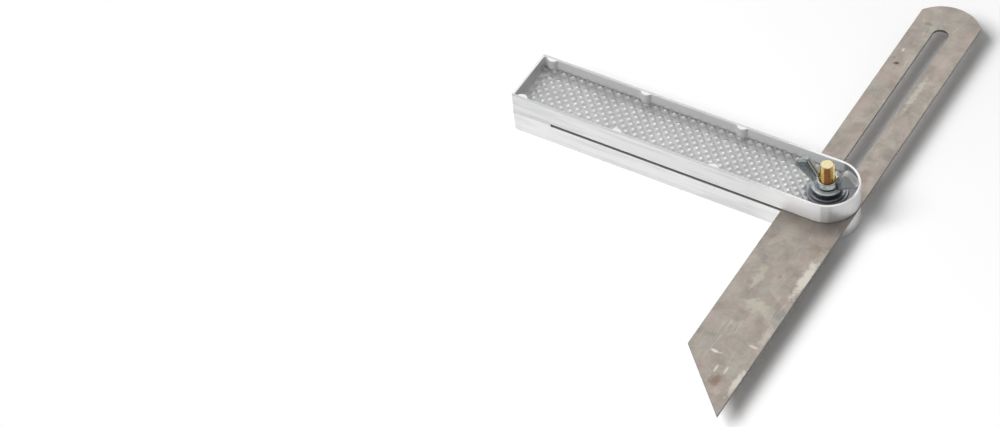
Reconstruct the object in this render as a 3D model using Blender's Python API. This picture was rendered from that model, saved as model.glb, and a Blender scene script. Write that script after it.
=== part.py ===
"""Sliding bevel: a slotted steel blade held in a one-piece die-cast stock by a brass screw and a wing nut.

Lengths are in metres, +Z is up and the stock lies along X with its butt at -X. The blade stands square to it,
its round end towards +Y. The origin is at the middle of the object's base.
"""

import math

import bmesh
import bpy

CLEARANCE = 0.0003
RUNNING_CLEARANCE = 0.00008
OVERRUN = 0.002
ROUND_STEPS = 64
ARC_STEPS = 24
SHARP_ANGLE = math.radians(28)
BEVEL_ANGLE = math.radians(50)

BLADE_LENGTH = 0.254
BLADE_WIDTH = 0.0286
BLADE_THICKNESS = 0.0012
BLADE_SIDE_GAP = 0.0002
PIVOT_TO_APEX = 0.1286
APEX_RISE = 0.0072
MITRE_ANGLE = math.radians(45)
SLOT_WIDTH = 0.0073
SLOT_TO_APEX = 0.0153

STOCK_WIDTH = 0.0284
STOCK_HEIGHT = 0.021
PIVOT_TO_BUTT = 0.146
BUTT_CORNER_RADIUS = 0.0009
EDGE_BREAK = 0.0003
RIM = 0.0013
TRAY_DRAFT = 0.0002
TRAY_DEPTH = 0.0057
BUTT_WEB = 0.0192
SLITTING_SAW_RADIUS = 0.05

DIAMOND_DIAGONAL = 0.0046
DIAMOND_HEIGHT = 0.0008
DIAMOND_PHASE = 0.00115
SEAT_RADIUS = 0.009
SEAT_HEIGHT = 0.001
RIB_RADIUS = 0.0029
RIB_REACH = 0.0016
RIB_TO_BUTT = 0.0052
RIB_SPACING = 0.0469
RIB_COUNT = 3

STUD_RADIUS = 0.0031
STUD_TIP = 0.0213
STUD_CHAMFER = 0.0006
NECK_RADIUS = 0.0045
NECK_COLLAR = 0.0005
HEAD_RADIUS = 0.007
HEAD_THICKNESS = 0.0027
HEAD_DOME = 0.0007
DRIVER_SLOT_WIDTH = 0.0016
DRIVER_SLOT_DEPTH = 0.0011

WASHER_RADIUS = 0.008
WASHER_THICKNESS = 0.001
WASHER_EDGE_BREAK = 0.00015
NUT_NECK_RADIUS = 0.0052
NUT_NECK_HEIGHT = 0.0008
FLANGE_RADIUS = 0.0069
FLANGE_HEIGHT = 0.0014
FLANGE_EDGE = 0.0006
NUT_WAIST_RADIUS = 0.0054
NUT_WAIST_HEIGHT = 0.0033
NUT_TOP_RADIUS = 0.0047
NUT_HEIGHT = 0.0057
NUT_EDGE_BREAK = 0.0004
WING_THICKNESS = 0.0026
WING_ROUNDING = 0.0008
WING_ROOT = (0.0042, 0.0041)
WING_ROOT_RADIUS = 0.0025
WING_TIP = (0.0116, 0.01)
WING_TIP_RADIUS = 0.0031

HALF_HEIGHT = STOCK_HEIGHT / 2
HALF_SLIT = BLADE_THICKNESS / 2 + BLADE_SIDE_GAP
SLIT_REACH = PIVOT_TO_BUTT - BUTT_WEB
TRAY_FLOOR = HALF_HEIGHT - TRAY_DEPTH
SEAT_FACE = TRAY_FLOOR + SEAT_HEIGHT
WASHER_BASE = SEAT_FACE + CLEARANCE
NUT_BASE = WASHER_BASE + WASHER_THICKNESS + CLEARANCE
HEAD_FACE = -SEAT_FACE - CLEARANCE
NECK_TOP = BLADE_THICKNESS / 2
NECK_HALF_FLATS = SLOT_WIDTH / 2 - CLEARANCE
PIVOT_TO_POINT = BLADE_LENGTH - PIVOT_TO_APEX
NUT_REACH = WING_TIP[0] + WING_TIP_RADIUS
PIVOT_X = (PIVOT_TO_BUTT - NUT_REACH) / 2
PIVOT_Y = (PIVOT_TO_POINT - PIVOT_TO_APEX) / 2


def clear_scene():
    for thing in list(bpy.data.objects):
        bpy.data.objects.remove(thing)


def material(name, colour, roughness, metallic):
    made = bpy.data.materials.new(name)
    made.use_nodes = True
    shader = made.node_tree.nodes["Principled BSDF"]
    shader.inputs["Base Color"].default_value = (*colour, 1)
    shader.inputs["Roughness"].default_value = roughness
    shader.inputs["Metallic"].default_value = metallic
    return made


def cast_aluminium():
    return material("cast_aluminium", (0.66, 0.66, 0.65), 0.38, 1)


def tarnished_steel():
    return material("tarnished_steel", (0.39, 0.35, 0.3), 0.42, 0.9)


def brass():
    return material("brass", (0.56, 0.37, 0.1), 0.3, 1)


def washer_steel():
    return material("washer_steel", (0.3, 0.31, 0.32), 0.35, 1)


def dark_plating():
    return material("dark_plating", (0.17, 0.19, 0.19), 0.25, 0.9)


def empty(name, parent, location):
    made = bpy.data.objects.new(name, None)
    made.parent = parent
    made.location = location
    bpy.context.scene.collection.objects.link(made)
    return made


def shade(mesh):
    mesh.shade_smooth()
    mesh.set_sharp_from_angle(angle=SHARP_ANGLE)


def solid(name, points, faces):
    """An object from points and faces, its normals turned outwards and its shading split at sharp edges."""
    mesh = bpy.data.meshes.new(name)
    mesh.from_pydata(points, [], faces)
    shape = bmesh.new()
    shape.from_mesh(mesh)
    bmesh.ops.recalc_face_normals(shape, faces=shape.faces)
    shape.to_mesh(mesh)
    shape.free()
    shade(mesh)
    made = bpy.data.objects.new(name, mesh)
    bpy.context.scene.collection.objects.link(made)
    return made


def bake(body):
    """Replaces the body's mesh by what its modifiers make of it."""
    graph = bpy.context.evaluated_depsgraph_get()
    mesh = bpy.data.meshes.new_from_object(body.evaluated_get(graph))
    body.modifiers.clear()
    body.data = mesh
    shade(mesh)


def combine(body, tool, operation):
    """Joins the body with the tool, cuts it by the tool or keeps what both fill. The tool is used up."""
    step = body.modifiers.new(operation.lower(), "BOOLEAN")
    step.operation = operation
    step.solver = "EXACT"
    step.object = tool
    bake(body)
    bpy.data.objects.remove(tool)


def round_edges(body, width, segments):
    step = body.modifiers.new("edges", "BEVEL")
    step.width = width
    step.segments = segments
    step.limit_method = "ANGLE"
    step.angle_limit = BEVEL_ANGLE
    bake(body)


def loft(name, rings):
    """A closed body through rings of equal point counts, each a list of (x, y, z)."""
    count = len(rings[0])
    points = [point for ring in rings for point in ring]
    faces = [list(range(count)), list(range(len(points) - count, len(points)))]
    for level in range(len(rings) - 1):
        for step in range(count):
            near = level * count + step
            far = level * count + (step + 1) % count
            faces.append([near, far, far + count, near + count])
    return solid(name, points, faces)


def prism(name, outline, low, high):
    return loft(name, [[(x, y, low) for x, y in outline], [(x, y, high) for x, y in outline]])


def box(name, low, high):
    outline = [(low[0], low[1]), (high[0], low[1]), (high[0], high[1]), (low[0], high[1])]
    return prism(name, outline, low[2], high[2])


def turned(name, profile, centre=(0, 0)):
    """A body turned about an upright axis from a closed profile of (radius, height)."""
    points = []
    rows = []
    for radius, height in profile:
        if radius == 0:
            rows.append([len(points)] * ROUND_STEPS)
            points.append((centre[0], centre[1], height))
            continue
        rows.append(list(range(len(points), len(points) + ROUND_STEPS)))
        for step in range(ROUND_STEPS):
            angle = math.tau * step / ROUND_STEPS
            points.append((centre[0] + radius * math.cos(angle), centre[1] + radius * math.sin(angle), height))
    faces = []
    for row, other in zip(rows, rows[1:] + rows[:1]):
        for step in range(ROUND_STEPS):
            after = (step + 1) % ROUND_STEPS
            corners = dict.fromkeys([row[step], row[after], other[after], other[step]])
            if len(corners) > 2:
                faces.append(list(corners))
    return solid(name, points, faces)


def cylinder(name, radius, low, high, centre=(0, 0)):
    return turned(name, [(0, high), (radius, high), (radius, low), (0, low)], centre)


def arc(centre, radius, start, end, steps):
    """Points on an arc, both ends included."""
    angles = [start + (end - start) * step / steps for step in range(steps + 1)]
    return [(centre[0] + radius * math.cos(angle), centre[1] + radius * math.sin(angle)) for angle in angles]


def stock_outline(inset):
    """The stock's plan, counter-clockwise: a half round at the pivot and small corners at the butt."""
    quarter = math.pi / 2
    corner = max(BUTT_CORNER_RADIUS - inset, BUTT_CORNER_RADIUS / 2)
    left = inset - PIVOT_TO_BUTT + corner
    side = STOCK_WIDTH / 2 - inset - corner
    points = arc((0, 0), STOCK_WIDTH / 2 - inset, -quarter, quarter, ROUND_STEPS // 2)
    points += arc((left, side), corner, quarter, 2 * quarter, ARC_STEPS // 6)
    points += arc((left, -side), corner, 2 * quarter, 3 * quarter, ARC_STEPS // 6)
    return points


def stock_ring(inset, height):
    return [(x, y, height) for x, y in stock_outline(inset)]


def tray_cutter(side):
    """The hollow of one face, its walls drafted, its rim's inner edge broken and its ribs left standing."""
    rings = [
        stock_ring(RIM + TRAY_DRAFT, side * (TRAY_FLOOR - CLEARANCE)),
        stock_ring(RIM, side * (HALF_HEIGHT - EDGE_BREAK)),
        stock_ring(RIM - EDGE_BREAK, side * HALF_HEIGHT),
        stock_ring(RIM - EDGE_BREAK, side * (HALF_HEIGHT + OVERRUN)),
    ]
    cutter = loft("tray_cutter", rings)
    for index in range(RIB_COUNT):
        for wall in (-1, 1):
            combine(cutter, rib(index, wall), "DIFFERENCE")
    return cutter


def diamond_sheet(side):
    """A plate with square pyramids in rows at 45 degrees, wider than the tray that it lines."""
    cell = DIAMOND_DIAGONAL / 2
    columns = math.ceil((PIVOT_TO_BUTT + STOCK_WIDTH) / cell)
    rows = 2 * math.ceil(STOCK_WIDTH / 2 / cell)
    left = DIAMOND_PHASE - (columns - math.ceil(STOCK_WIDTH / 2 / cell)) * cell
    points = []
    for column in range(columns + 1):
        for row in range(rows + 1):
            raised = DIAMOND_HEIGHT * ((column + row) % 2)
            points.append((left + column * cell, (row - rows / 2) * cell, side * (TRAY_FLOOR + raised)))
    faces = []
    for column in range(columns):
        for row in range(rows):
            first = column * (rows + 1) + row
            corners = [first, first + rows + 1, first + rows + 2, first + 1]
            turn = 1 - (column + row) % 2
            corners = corners[turn:] + corners[:turn]
            faces += [[corners[0], corners[1], corners[3]], [corners[1], corners[2], corners[3]]]
    return back_sheet("diamond_sheet", points, faces, columns, rows, side * (HALF_SLIT + OVERRUN / 2))


def back_sheet(name, points, faces, columns, rows, height):
    """Closes an open grid of points with side walls and a flat back at the given height."""
    border = [column * (rows + 1) for column in range(columns + 1)]
    border += [columns * (rows + 1) + row for row in range(1, rows + 1)]
    border += [column * (rows + 1) + rows for column in range(columns - 1, -1, -1)]
    border += list(range(rows - 1, 0, -1))
    base = len(points)
    points = points + [(points[index][0], points[index][1], height) for index in border]
    faces = faces + [list(range(base, len(points)))]
    for step in range(len(border)):
        after = (step + 1) % len(border)
        faces.append([border[step], border[after], base + after, base + step])
    return solid(name, points, faces)


def checkered_lining(side):
    """The raised diamonds of one tray with the seat round the pivot, cut to end inside the rim's thickness."""
    lining = diamond_sheet(side)
    trim = [stock_ring(RIM / 2, side * HALF_SLIT), stock_ring(RIM / 2, side * HALF_HEIGHT)]
    combine(lining, loft("lining_trim", trim), "INTERSECT")
    low, high = sorted([side * (HALF_SLIT + OVERRUN), side * SEAT_FACE])
    combine(lining, cylinder("seat", SEAT_RADIUS, low, high), "UNION")
    return lining


def rib(index, wall):
    """A round column that stands half sunk in a side wall, flush with both rims."""
    along = RIB_TO_BUTT - PIVOT_TO_BUTT + index * RIB_SPACING
    across = wall * (STOCK_WIDTH / 2 - RIM - RIB_REACH + RIB_RADIUS)
    reach = HALF_HEIGHT + 2 * OVERRUN
    return cylinder("rib", RIB_RADIUS, -reach, reach, (along, across))


def slit_cutter():
    """The saw cut that takes the blade, open at the round end and hollow ground at the closed end."""
    half = STOCK_WIDTH / 2 + OVERRUN
    swing = math.asin(half / SLITTING_SAW_RADIUS)
    centre = SLITTING_SAW_RADIUS * math.cos(math.asin(STOCK_WIDTH / 2 / SLITTING_SAW_RADIUS)) - SLIT_REACH
    closed = arc((centre, 0), SLITTING_SAW_RADIUS, math.pi - swing, math.pi + swing, ARC_STEPS)
    outline = [(half, -half), (half, half)] + closed
    return prism("slit_cutter", outline, -HALF_SLIT, HALF_SLIT)


def build_stock(parent):
    rings = [
        stock_ring(EDGE_BREAK, -HALF_HEIGHT),
        stock_ring(0, EDGE_BREAK - HALF_HEIGHT),
        stock_ring(0, HALF_HEIGHT - EDGE_BREAK),
        stock_ring(EDGE_BREAK, HALF_HEIGHT),
    ]
    stock = loft("stock", rings)
    for side in (-1, 1):
        combine(stock, tray_cutter(side), "DIFFERENCE")
        combine(stock, checkered_lining(side), "UNION")
    combine(stock, slit_cutter(), "DIFFERENCE")
    neck_hole = NECK_RADIUS + RUNNING_CLEARANCE
    stud_hole = STUD_RADIUS + RUNNING_CLEARANCE
    combine(stock, cylinder("neck_hole", neck_hole, -HALF_HEIGHT, 0), "DIFFERENCE")
    combine(stock, cylinder("stud_hole", stud_hole, 0, HALF_HEIGHT), "DIFFERENCE")
    return finish(stock, parent, cast_aluminium())


def slot_outline():
    """The blade's slot: its inner end just clears the screw's neck when the blade is at rest."""
    radius = SLOT_WIDTH / 2
    neck_corner = math.sqrt(NECK_RADIUS**2 - NECK_HALF_FLATS**2)
    inner = math.sqrt(radius**2 - NECK_HALF_FLATS**2) - neck_corner - CLEARANCE
    outer = PIVOT_TO_APEX - SLOT_TO_APEX - radius
    points = arc((0, outer), radius, 0, math.pi, ARC_STEPS)
    return points + arc((0, inner), radius, math.pi, math.tau, ARC_STEPS)


def blade_outline():
    """Counter-clockwise from the long point, which is on the edge away from the butt."""
    half = BLADE_WIDTH / 2
    radius = (half**2 + APEX_RISE**2) / (2 * APEX_RISE)
    spread = math.asin(half / radius)
    quarter = math.pi / 2
    points = arc((0, PIVOT_TO_APEX - radius), radius, quarter - spread, quarter + spread, ARC_STEPS)
    short = BLADE_WIDTH * math.tan(MITRE_ANGLE) - PIVOT_TO_POINT
    return [(half, -PIVOT_TO_POINT)] + points + [(-half, short)]


def build_blade(parent):
    blade = prism("blade", blade_outline(), -BLADE_THICKNESS / 2, BLADE_THICKNESS / 2)
    half_cut = BLADE_THICKNESS / 2 + OVERRUN
    combine(blade, prism("slot_cutter", slot_outline(), -half_cut, half_cut), "DIFFERENCE")
    return finish(blade, parent, tarnished_steel())


def build_clamp_screw(parent):
    """A domed, slotted head in the lower tray, a neck with two flats through the blade and a stud above."""
    base = HEAD_FACE - HEAD_THICKNESS
    profile = [
        (0, STUD_TIP),
        (STUD_RADIUS - STUD_CHAMFER, STUD_TIP),
        (STUD_RADIUS, STUD_TIP - STUD_CHAMFER),
        (STUD_RADIUS, NECK_TOP),
        (NECK_RADIUS, NECK_TOP),
        (NECK_RADIUS, HEAD_FACE),
        (HEAD_RADIUS - HEAD_DOME / 2, HEAD_FACE),
        (HEAD_RADIUS, HEAD_FACE - HEAD_DOME / 2),
        (HEAD_RADIUS, base + HEAD_DOME),
        (HEAD_RADIUS - HEAD_DOME, base + HEAD_DOME / 4),
        (HEAD_RADIUS / 2, base),
        (0, base),
    ]
    screw = turned("clamp_screw", profile)
    flat_low = HEAD_FACE + NECK_COLLAR
    reach = NECK_RADIUS + OVERRUN
    for side in (-1, 1):
        low, high = sorted([side * NECK_HALF_FLATS, side * reach])
        combine(screw, box("flat", (low, -reach, flat_low), (high, reach, HALF_HEIGHT)), "DIFFERENCE")
    half_slot = DRIVER_SLOT_WIDTH / 2
    long = HEAD_RADIUS + OVERRUN
    driver_slot = box("driver_slot", (-long, -half_slot, -HALF_HEIGHT), (long, half_slot, base + DRIVER_SLOT_DEPTH))
    combine(screw, driver_slot, "DIFFERENCE")
    return finish(screw, parent, brass())


def build_nut_washer(parent):
    bore = STUD_RADIUS + RUNNING_CLEARANCE
    outer = WASHER_RADIUS
    edge = WASHER_EDGE_BREAK
    profile = [
        (bore, WASHER_THICKNESS),
        (outer - edge, WASHER_THICKNESS),
        (outer, WASHER_THICKNESS - edge),
        (outer, edge),
        (outer - edge, 0),
        (bore, 0),
    ]
    washer = turned("nut_washer", profile)
    return finish(washer, parent, washer_steel())


def hull(points):
    """The convex outline of points, counter-clockwise."""
    points = sorted(points)
    halves = []
    for run in (points, points[::-1]):
        chain = []
        for x, y in run:
            while len(chain) > 1 and turn(chain[-2], chain[-1], (x, y)) <= 0:
                chain.pop()
            chain.append((x, y))
        halves += chain[:-1]
    return halves


def turn(first, second, third):
    ahead = (second[0] - first[0], second[1] - first[1])
    beyond = (third[0] - first[0], third[1] - first[1])
    return ahead[0] * beyond[1] - ahead[1] * beyond[0]


def wing(side):
    """A paddle on edge: the hull of a root circle and a tip circle, given thickness and rounded edges."""
    circles = arc(WING_ROOT, WING_ROOT_RADIUS, 0, math.tau, ARC_STEPS)[1:]
    circles += arc(WING_TIP, WING_TIP_RADIUS, 0, math.tau, ARC_STEPS)[1:]
    half = WING_THICKNESS / 2
    outline = hull(circles)
    rings = [[(side * x, across, z) for x, z in outline] for across in (-half, half)]
    paddle = loft("wing", rings)
    round_edges(paddle, WING_ROUNDING, 3)
    return paddle


def build_wing_nut(parent):
    """A hub with a flange undercut by its neck, and two paddles that rise from it."""
    profile = [
        (0, NUT_HEIGHT),
        (NUT_TOP_RADIUS - NUT_EDGE_BREAK, NUT_HEIGHT),
        (NUT_TOP_RADIUS, NUT_HEIGHT - NUT_EDGE_BREAK),
        (NUT_WAIST_RADIUS, NUT_WAIST_HEIGHT),
        (FLANGE_RADIUS - FLANGE_EDGE / 2, FLANGE_HEIGHT + FLANGE_EDGE),
        (FLANGE_RADIUS, FLANGE_HEIGHT + FLANGE_EDGE / 2),
        (FLANGE_RADIUS, FLANGE_HEIGHT),
        (NUT_NECK_RADIUS, NUT_NECK_HEIGHT),
        (NUT_NECK_RADIUS, 0),
        (0, 0),
    ]
    nut = turned("wing_nut", profile)
    for side in (-1, 1):
        combine(nut, wing(side), "UNION")
    bore = cylinder("bore_cutter", STUD_RADIUS + RUNNING_CLEARANCE, -OVERRUN, NUT_HEIGHT + OVERRUN)
    combine(nut, bore, "DIFFERENCE")
    return finish(nut, parent, dark_plating())


def finish(body, parent, surface):
    body.parent = parent
    body.data.materials.clear()
    body.data.materials.append(surface)
    return body


def build_bevel():
    clear_scene()
    pivot = empty("pivot_axis", None, (PIVOT_X, PIVOT_Y, HALF_HEIGHT))
    build_stock(pivot)
    swing = empty("blade_swing", pivot, (0, 0, 0))
    build_clamp_screw(swing)
    build_blade(swing)
    build_nut_washer(empty("washer_height", swing, (0, 0, WASHER_BASE)))
    build_wing_nut(empty("nut_height", swing, (0, 0, NUT_BASE)))


build_bevel()
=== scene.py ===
"""Sliding bevel: the finished looks of its five pieces, fitted around the solids of the frame.

Lengths are in metres. Each piece is modelled about the pivot axis, with height 0 in the middle of the slit,
and set down where the frame has the pivot.
"""
import math

import bmesh
import bpy
import numpy as np
from mathutils import Matrix, Vector


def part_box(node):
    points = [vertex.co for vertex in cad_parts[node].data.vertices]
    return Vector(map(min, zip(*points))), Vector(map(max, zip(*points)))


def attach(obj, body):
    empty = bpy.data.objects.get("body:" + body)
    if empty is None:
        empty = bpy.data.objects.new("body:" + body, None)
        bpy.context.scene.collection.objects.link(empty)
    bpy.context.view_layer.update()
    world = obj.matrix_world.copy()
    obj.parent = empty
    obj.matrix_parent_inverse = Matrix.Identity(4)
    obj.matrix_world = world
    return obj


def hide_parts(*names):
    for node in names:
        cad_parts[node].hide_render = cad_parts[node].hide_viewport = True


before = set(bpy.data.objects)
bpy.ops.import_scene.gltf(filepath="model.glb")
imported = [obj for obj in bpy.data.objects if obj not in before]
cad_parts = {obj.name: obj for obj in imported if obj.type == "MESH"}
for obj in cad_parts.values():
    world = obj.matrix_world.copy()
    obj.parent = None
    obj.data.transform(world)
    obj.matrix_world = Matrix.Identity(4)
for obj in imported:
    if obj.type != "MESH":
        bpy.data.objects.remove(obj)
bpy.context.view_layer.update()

# Camera, aimed from the foot of the pivot
PICTURE_WIDTH_PX = 1000
FOCAL_LENGTH_PX = 3193.7
SENSOR_WIDTH_MM = 36
CLIP_NEAR = 0.05
CLIP_FAR = 20
VIEW_AZIMUTH = math.radians(26.947)
VIEW_ELEVATION = math.radians(47.184)
VIEW_ROLL = math.radians(-6.545)
VIEW_DISTANCE = 1.35922
AIM_RIGHT = -0.139374
AIM_UP = 0.001838

# Smoothness of round shapes
QUARTER = math.pi / 2
ROUND_STEPS = 96
ARC_STEPS = 48
CORNER_STEPS = 8
FILLET_STEPS = 4
SMOOTH_ANGLE = math.radians(35)
CREASE_ANGLE = math.radians(20)
BEVEL_ANGLE = math.radians(50)
BEVEL_STEPS = 2
OVERRUN = 0.002

# Boxes of the pieces in the frame
stock_low, stock_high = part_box("stock")
blade_low, blade_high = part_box("blade")
screw_low, screw_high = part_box("clamp_screw")
washer_low, washer_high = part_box("nut_washer")
nut_low, nut_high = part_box("wing_nut")
PIVOT = Vector((
    (screw_low.x + screw_high.x) / 2,
    (screw_low.y + screw_high.y) / 2,
    (stock_low.z + stock_high.z) / 2,
))
CLEARANCE = 0.0003

# Blade
BLADE_WIDTH = blade_high.x - blade_low.x
BLADE_THICKNESS = blade_high.z - blade_low.z
BLADE_SIDE_GAP = 0.0002
PIVOT_TO_APEX = blade_high.y - PIVOT.y
PIVOT_TO_POINT = PIVOT.y - blade_low.y
APEX_RISE = 0.0072
SLOT_WIDTH = 0.0073
SLOT_TO_APEX = 0.0153
SLOT_INNER_CENTRE = -0.00185
BLADE_EDGE = 0.00012

# Stock
STOCK_WIDTH = stock_high.y - stock_low.y
HALF_HEIGHT = (stock_high.z - stock_low.z) / 2
PIVOT_TO_BUTT = PIVOT.x - stock_low.x
BUTT_WEB = 0.0192
BUTT_CORNER_RADIUS = 0.0009
TRAY_CORNER_RADIUS = 0.0006
RIM = 0.0013
RIM_OUTER_FILLET = 0.0004
RIM_INNER_FILLET = 0.00035
TRAY_DEPTH = 0.0057
TRAY_DRAFT = 0.0002
TRAY_FOOT_FILLET = 0.0003
TRAY_FLOOR = HALF_HEIGHT - TRAY_DEPTH
HALF_SLIT = BLADE_THICKNESS / 2 + BLADE_SIDE_GAP
SLIT_REACH = PIVOT_TO_BUTT - BUTT_WEB
SLIT_EDGE = 0.00015
SAW_RADIUS = 0.05
PARTING_GROOVE_WIDTH = 0.00024
PARTING_GROOVE_DEPTH = 0.00008

# Ribs, checkering and seat of a tray
RIB_RADIUS = 0.0029
RIB_REACH = 0.0016
RIB_TO_BUTT = 0.0052
RIB_SPACING = 0.0469
RIB_COUNT = 3
RIB_PLACES = [RIB_TO_BUTT - PIVOT_TO_BUTT + index * RIB_SPACING for index in range(RIB_COUNT)]
RIB_BLEND = 0.0005
RIB_HALF_SPAN = 0.0028
RIB_STEPS = 16
WALL_STEP = 0.002
DIAMOND_DIAGONAL = 0.0046
DIAMOND_HEIGHT = 0.0008
DIAMOND_PHASE = 0.00115
DIAMOND_SOFTNESS = 0.00026
DIAMOND_TOP_SHARE = 0.84
DIAMOND_FOOT_SHARE = 0.06
DIAMOND_WEAR = 0.00014
SHUFFLE_TURNS = (12.9898, 78.233)
SHUFFLE_SPREAD = 43758.5453
FLAT_BAND_START = 0.0022
FLAT_BAND_END = 0.0056
FLAT_BUTT_END = 0.0055
FLAT_ROUND_END = 0.001
FLAT_FADE = 0.0012
FLAT_SHARE = 0.25
LINING_STEP = 0.00023
LINING_DEPTH = 0.0004
SEAT_RADIUS = 0.009
SEAT_HEIGHT = 0.001
SEAT_EDGE = 0.0002
SEAT_FACE = TRAY_FLOOR + SEAT_HEIGHT

# Clamp screw and washer
STUD_RADIUS = 0.0031
STUD_TIP = screw_high.z - PIVOT.z
STUD_CHAMFER = 0.0006
THREAD_PITCH = 0.00127
THREAD_DEPTH = 0.0004
THREAD_HALF_SHARE = 0.42
THREAD_ROWS_A_TURN = 12
NECK_RADIUS = 0.0045
NECK_HALF_FLATS = 0.00335
NECK_COLLAR = 0.0005
NECK_TOP = BLADE_THICKNESS / 2
NECK_EDGE = 0.00015
HEAD_RADIUS = 0.007
HEAD_THICKNESS = 0.0027
HEAD_DOME = 0.0007
HEAD_EDGE = 0.0003
HEAD_FACE = -SEAT_FACE - CLEARANCE
DRIVER_SLOT_WIDTH = 0.0016
DRIVER_SLOT_DEPTH = 0.0011
RUNNING_CLEARANCE = 0.00008
WASHER_EDGE = 0.0002

# Wing nut, in heights above its base. Pairs: (at the wing's root, at its tip)
NUT_BASE = nut_low.z - PIVOT.z
NUT_NECK_RADIUS = 0.0052
NUT_NECK_HEIGHT = 0.0008
FLANGE_RADIUS = 0.0069
FLANGE_HEIGHT = 0.0014
FLANGE_EDGE = 0.0006
NUT_WAIST_RADIUS = 0.0054
NUT_TOP_RADIUS = 0.0047
NUT_HEIGHT = 0.0057
NUT_TOP_EDGE = 0.0005
NUT_COUNTERSINK = 0.0007
NUT_VOXEL = 0.00016
NUT_SMOOTHING = 0.5
NUT_SMOOTHING_ROUNDS = 10
WING_ROOT = Vector((0.0042, 0, 0.003))
WING_TIP = Vector((0.0113, 0, 0.0104))
WING_TIP_CAP = 0.0018
WING_RADII = (0.0025, 0.0043)
WING_HALF_THICKNESSES = (0.0017, 0.0016)
WING_SQUARENESS = 0.6
WING_TIP_ROUNDNESS = 2
WING_TIP_FULLNESS = 5
WING_RINGS = 28
WING_STEPS = 28
LEAST_SECTION = 0.00004


def new_object(name, mesh):
    made = bpy.data.objects.new(name, mesh)
    bpy.context.scene.collection.objects.link(made)
    return made


def smooth(mesh, sharp_angle):
    mesh.shade_smooth()
    mesh.set_sharp_from_angle(angle=sharp_angle)


def solid(name, points, faces, sharp_angle=SMOOTH_ANGLE):
    mesh = bpy.data.meshes.new(name)
    mesh.from_pydata([tuple(point) for point in points], [], faces)
    shape = bmesh.new()
    shape.from_mesh(mesh)
    bmesh.ops.recalc_face_normals(shape, faces=shape.faces)
    shape.to_mesh(mesh)
    shape.free()
    smooth(mesh, sharp_angle)
    return new_object(name, mesh)


def bake(body, sharp_angle=SMOOTH_ANGLE):
    graph = bpy.context.evaluated_depsgraph_get()
    mesh = bpy.data.meshes.new_from_object(body.evaluated_get(graph))
    body.modifiers.clear()
    body.data = mesh
    smooth(mesh, sharp_angle)


def combine(body, tool, operation, solver="EXACT"):
    step = body.modifiers.new(operation.lower(), "BOOLEAN")
    step.operation = operation
    step.solver = solver
    step.object = tool
    bake(body)
    bpy.data.objects.remove(tool)


def break_edges(body, width):
    edges = body.modifiers.new("edges", "BEVEL")
    edges.width = width
    edges.segments = BEVEL_STEPS
    edges.limit_method = "ANGLE"
    edges.angle_limit = BEVEL_ANGLE
    bake(body, CREASE_ANGLE)


def loft(name, rings):
    """A closed body through rings of as many points each."""
    count = len(rings[0])
    points = [point for ring in rings for point in ring]
    faces = [list(range(count)), list(range(len(points) - count, len(points)))]
    for level in range(len(rings) - 1):
        for step in range(count):
            near = level * count + step
            far = level * count + (step + 1) % count
            faces.append([near, far, far + count, near + count])
    return solid(name, points, faces)


def prism(name, outline, low, high):
    return loft(name, [[(x, y, low) for x, y in outline], [(x, y, high) for x, y in outline]])


def block(name, low, high):
    outline = [(low[0], low[1]), (high[0], low[1]), (high[0], high[1]), (low[0], high[1])]
    return prism(name, outline, low[2], high[2])


def turned(name, profile):
    """A body turned about the pivot axis from a (radius, height) profile that starts and ends on the axis."""
    turns = [math.tau * step / ROUND_STEPS for step in range(ROUND_STEPS)]
    points = []
    rows = []
    for radius, height in profile:
        count = 1 if radius == 0 else ROUND_STEPS
        rows.append([len(points) + step % count for step in range(ROUND_STEPS)])
        points += [(radius * math.cos(angle), radius * math.sin(angle), height) for angle in turns[:count]]
    faces = []
    for row, other in zip(rows, rows[1:]):
        for step in range(ROUND_STEPS):
            after = (step + 1) % ROUND_STEPS
            corners = dict.fromkeys([row[step], row[after], other[after], other[step]])
            faces.append(list(corners))
    return solid(name, points, faces)


def arc(centre, radius, start, end, steps):
    angles = [start + (end - start) * step / steps for step in range(steps + 1)]
    return [(centre[0] + radius * math.cos(angle), centre[1] + radius * math.sin(angle)) for angle in angles]


def dress(piece, node, finish, height=0):
    """Sets a piece down at the pivot in the place of the frame's node, which is named as its body is."""
    piece.location = PIVOT + Vector((0, 0, height))
    piece.data.materials.clear()
    piece.data.materials.append(finish)
    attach(piece, node)
    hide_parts(node)


def smooth_lower(first, second, blend):
    """The lower of two lengths, with the crossing rounded."""
    near = max(blend - abs(first - second), 0) / blend
    return min(first, second) - blend * near**2 / 4


def wall_reach(x, inset):
    """How far a side wall's face at an inset stands from the middle, with its ribs."""
    reach = STOCK_WIDTH / 2 - inset
    if inset <= RIM_OUTER_FILLET:
        return reach
    radius = RIB_RADIUS + inset - RIM
    centre = STOCK_WIDTH / 2 - RIM - RIB_REACH + RIB_RADIUS
    for rib in RIB_PLACES:
        if abs(x - rib) < radius:
            nose = centre - math.sqrt(radius**2 - (x - rib) ** 2)
            reach = smooth_lower(reach, nose, RIB_BLEND)
    return reach


def wall_places():
    """Places along the straight sides, from the butt to the pivot, close together at each rib."""
    start = RIB_PLACES[0] - RIB_HALF_SPAN
    wide = np.arange(start, 0, WALL_STEP)
    places = [x for x in wide if all(abs(x - rib) > RIB_HALF_SPAN for rib in RIB_PLACES)]
    for rib in RIB_PLACES:
        places += [rib + RIB_HALF_SPAN * step / RIB_STEPS for step in range(-RIB_STEPS, RIB_STEPS + 1)]
    return sorted(places)


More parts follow.
